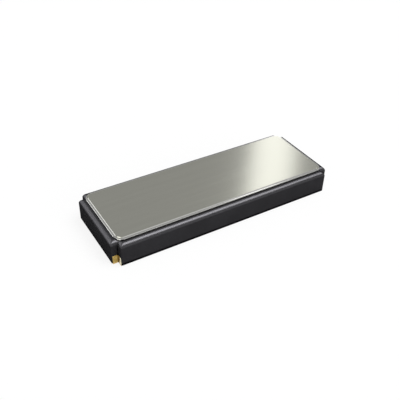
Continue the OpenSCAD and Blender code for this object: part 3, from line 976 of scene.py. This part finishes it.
ceramic_body()
lid = lid_plate()
seal_frame("seal_band", "gold_plate", BAND_EDGE)
seal_frame("seal_solder", "seal_solder", SOLDER_EDGE)
for terminal in TERMINALS:
    softened("solder_pad_" + terminal, "gold_plate", radius=0.0015)
    softened("floor_trace_" + terminal, "gold_plate", radius=0.0012)
for polarity in ("in", "out"):
    softened("crystal_land_" + polarity, "gold_plate", radius=0.0012)
    glue_dot("glue_dot_" + polarity)
    softened("electrode_" + polarity, "electrode_film", radius=0.0006)
tuning_fork()
softened("chip_glue", "silver_glue", radius=0.003, segments=3)
softened("oscillator_chip", "silicon", radius=0.0015)
chip_contacts()
bond_wires()
via_plugs()


# Camera, where the photograph's perspective puts it. Place in millimetres, frame and focal length
# in pixels, angles in degrees brought to radians

IMAGE = 400
FOCAL_PX = 589.53
CAMERA_AT = Vector((-4.32206, -6.81902, 6.14571))
CAMERA_TURN = math.radians(-31.5434)
CAMERA_HEIGHT = math.radians(37.1457)
CAMERA_ROLL = math.radians(1.2151)
CLIP_NEAR = 0.1
CLIP_FAR = 5000


def photo_camera():
    """Camera at the photograph's place, with the photograph's field of view."""
    data = bpy.data.cameras.new("photo camera")
    camera = bpy.data.objects.new("photo camera", data)
    bpy.context.scene.collection.objects.link(camera)
    data.sensor_fit = "HORIZONTAL"
    data.lens = FOCAL_PX / IMAGE * data.sensor_width
    data.clip_start = CLIP_NEAR * MM
    data.clip_end = CLIP_FAR * MM
    back = Vector((math.sin(CAMERA_TURN) * math.cos(CAMERA_HEIGHT),
                   -math.cos(CAMERA_TURN) * math.cos(CAMERA_HEIGHT), math.sin(CAMERA_HEIGHT)))
    right = Vector((math.cos(CAMERA_TURN), math.sin(CAMERA_TURN), 0.0))
    up = back.cross(right)
    rolled_right = math.cos(CAMERA_ROLL) * right + math.sin(CAMERA_ROLL) * up
    rolled_up = math.cos(CAMERA_ROLL) * up - math.sin(CAMERA_ROLL) * right
    turn = Matrix((rolled_right, rolled_up, back)).transposed().to_4x4()
    camera.matrix_world = Matrix.Translation(CAMERA_AT * MM) @ turn
    bpy.context.scene.camera = camera


# Lamps, world and floor. All lamps stand at one distance, in millimetres

LAMP_DISTANCE = 400


def softbox(name, direction, wide, tall, radiance, mirrored=True, diffused=True, skips=None, only=None):
    """A rectangular lamp that faces the part, as bright as a surface of that radiance. It can skip
    one piece, or light one piece only."""
    data = bpy.data.lights.new(name, "AREA")
    data.shape = "RECTANGLE"
    data.size = wide * MM
    data.size_y = tall * MM
    data.energy = radiance * math.pi * data.size * data.size_y
    lamp = bpy.data.objects.new(name, data)
    bpy.context.scene.collection.objects.link(lamp)
    away = Vector(direction).normalized()
    lamp.matrix_world = (Matrix.Translation(away * LAMP_DISTANCE * MM)
                         @ away.to_track_quat("Z", "Y").to_matrix().to_4x4())
    lamp.visible_camera = False
    lamp.visible_glossy = mirrored
    lamp.visible_diffuse = diffused
    if skips or only:
        chosen = bpy.data.collections.new("pieces for the " + name)
        chosen.objects.link(skips or only)
        chosen.collection_objects[0].light_linking.link_state = "EXCLUDE" if skips else "INCLUDE"
        lamp.light_linking.receiver_collection = chosen


def toward(bearing, height):
    """Direction with a compass bearing from +Y towards +X and a height above the floor."""
    bearing = math.radians(bearing)
    height = math.radians(height)
    return (math.sin(bearing) * math.cos(height), math.cos(bearing) * math.cos(height), math.sin(height))


# Heights in degrees at which the white horizon fades into the ceiling, and the paler front fades out
CEILING_FROM = 3
CEILING_FULL = 10
FRONT_FULL = 26
FRONT_GONE = 34

# Direction of the paler front along X and Y, and how far towards it its grey starts and is full
FRONT_X = -0.5
FRONT_Y = -0.87
FRONT_STARTS = 0.2
FRONT_REACHED = 0.6


def between(height, start, end):
    """0 below one height above the horizon and 1 above another, both in degrees."""
    return height.ramp(math.sin(math.radians(start)), math.sin(math.radians(end)))


def studio_world():
    """White all round near the floor, and a grey ceiling above it, paler to the front."""
    white = (1.0, 1.0, 1.0, 1.0)
    ceiling_grey = (0.38, 0.38, 0.38, 1.0)
    front_grey = (0.62, 0.62, 0.62, 1.0)
    world = bpy.data.worlds.new("studio")
    world.use_nodes = True
    bpy.context.scene.world = world
    nodes = Nodes(world.node_tree)
    direction = nodes.node("ShaderNodeTexCoord", None, None, "Generated")
    x, y, height = nodes.parts(direction)
    ceiling = between(height, CEILING_FROM, CEILING_FULL)
    front = (FRONT_X * x + FRONT_Y * y).ramp(FRONT_STARTS, FRONT_REACHED)
    front = front * (1 - between(height, FRONT_FULL, FRONT_GONE))
    camera = nodes.node("ShaderNodeLightPath", None, None, "Is Camera Ray")
    above = nodes.mix(front, ceiling_grey, front_grey)
    colour = nodes.mix(ceiling * (1 - camera), white, above)
    background = world.node_tree.nodes["Background"]
    nodes.plug(background.inputs["Color"], colour)


# Floor: half its side, its height, and how much of the white that camera and mirrors see is its own
FLOOR_HALF = 800
TABLE_Z = -0.0005
FLOOR_GLOW = 0.88


def pale_floor():
    """White table. Camera and reflections see it as the background, with the part's shadow."""
    paint_colour = (0.9, 0.9, 0.9, 1.0)
    white_colour = (1.0, 1.0, 1.0, 1.0)
    bm = bmesh.new()
    corners = [(-1, -1), (1, -1), (1, 1), (-1, 1)]
    bm.faces.new([bm.verts.new((x * FLOOR_HALF, y * FLOOR_HALF, TABLE_Z)) for x, y in corners])
    mesh = bpy.data.meshes.new("floor")
    bm.to_mesh(mesh)
    bm.free()
    mesh.transform(Matrix.Scale(MM, 4))
    floor = bpy.data.objects.new("floor", mesh)
    bpy.context.scene.collection.objects.link(floor)
    material = bpy.data.materials.new("white floor")
    material.use_nodes = True
    nodes = Nodes(material.node_tree)
    material.node_tree.nodes.remove(material.node_tree.nodes["Principled BSDF"])
    rays = nodes.node("ShaderNodeLightPath")
    seen = {name: Value(nodes, rays.socket.node.outputs[name])
            for name in ("Is Camera Ray", "Is Glossy Ray", "Is Transmission Ray")}
    shown = seen["Is Camera Ray"].most(seen["Is Glossy Ray"]).most(seen["Is Transmission Ray"])
    paint = nodes.node("ShaderNodeBsdfDiffuse", None, {"Color": paint_colour})
    white = nodes.node("ShaderNodeEmission", None, {"Color": white_colour, "Strength": 1.0})
    lit = nodes.node("ShaderNodeMixShader", None, {0: shown * FLOOR_GLOW, 1: paint, 2: white})
    below = nodes.node("ShaderNodeNewGeometry", None, None, "Backfacing") * seen["Is Camera Ray"]
    clear = nodes.node("ShaderNodeBsdfTransparent")
    whole = nodes.node("ShaderNodeMixShader", None, {0: below, 1: lit, 2: clear})
    nodes.plug(material.node_tree.nodes["Material Output"].inputs["Surface"], whole)
    mesh.materials.append(material)


photo_camera()
studio_world()
pale_floor()
softbox("lid strip", toward(40.0, 36.0), wide=30, tall=340, radiance=1.25)
softbox("overhead softbox", (0.416, -0.215, 0.883), wide=250, tall=250, radiance=6.5, skips=lid)
softbox("rim softbox", toward(-45.0, 16.0), wide=220, tall=220, radiance=2.5, diffused=False,
        skips=lid)
softbox("upper rim softbox", toward(-24.0, 39.0), wide=200, tall=150, radiance=2.4, diffused=False,
        skips=lid)
softbox("left overhead softbox", (0.0, -0.21, 0.978), wide=180, tall=250, radiance=6.0,
        diffused=False, skips=lid)
softbox("lid edge softbox", toward(-36.0, 26.0), wide=260, tall=300, radiance=1.6, diffused=False,
        only=lid)
softbox("left softbox", toward(-115.0, 24.0), wide=300, tall=180, radiance=1.0, diffused=False)
softbox("front softbox", toward(165.0, 20.0), wide=300, tall=200, radiance=3.0, mirrored=False)
bpy.context.scene.view_settings.view_transform = "Standard"

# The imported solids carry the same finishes
slots = {sub["node"]: sub["material_slot"] for sub in frame["record"]["subparts"]}
for node, item in frame["nodes"].items():
    item.data.materials.clear()
    item.data.materials.append(FINISHES[slots[node]])
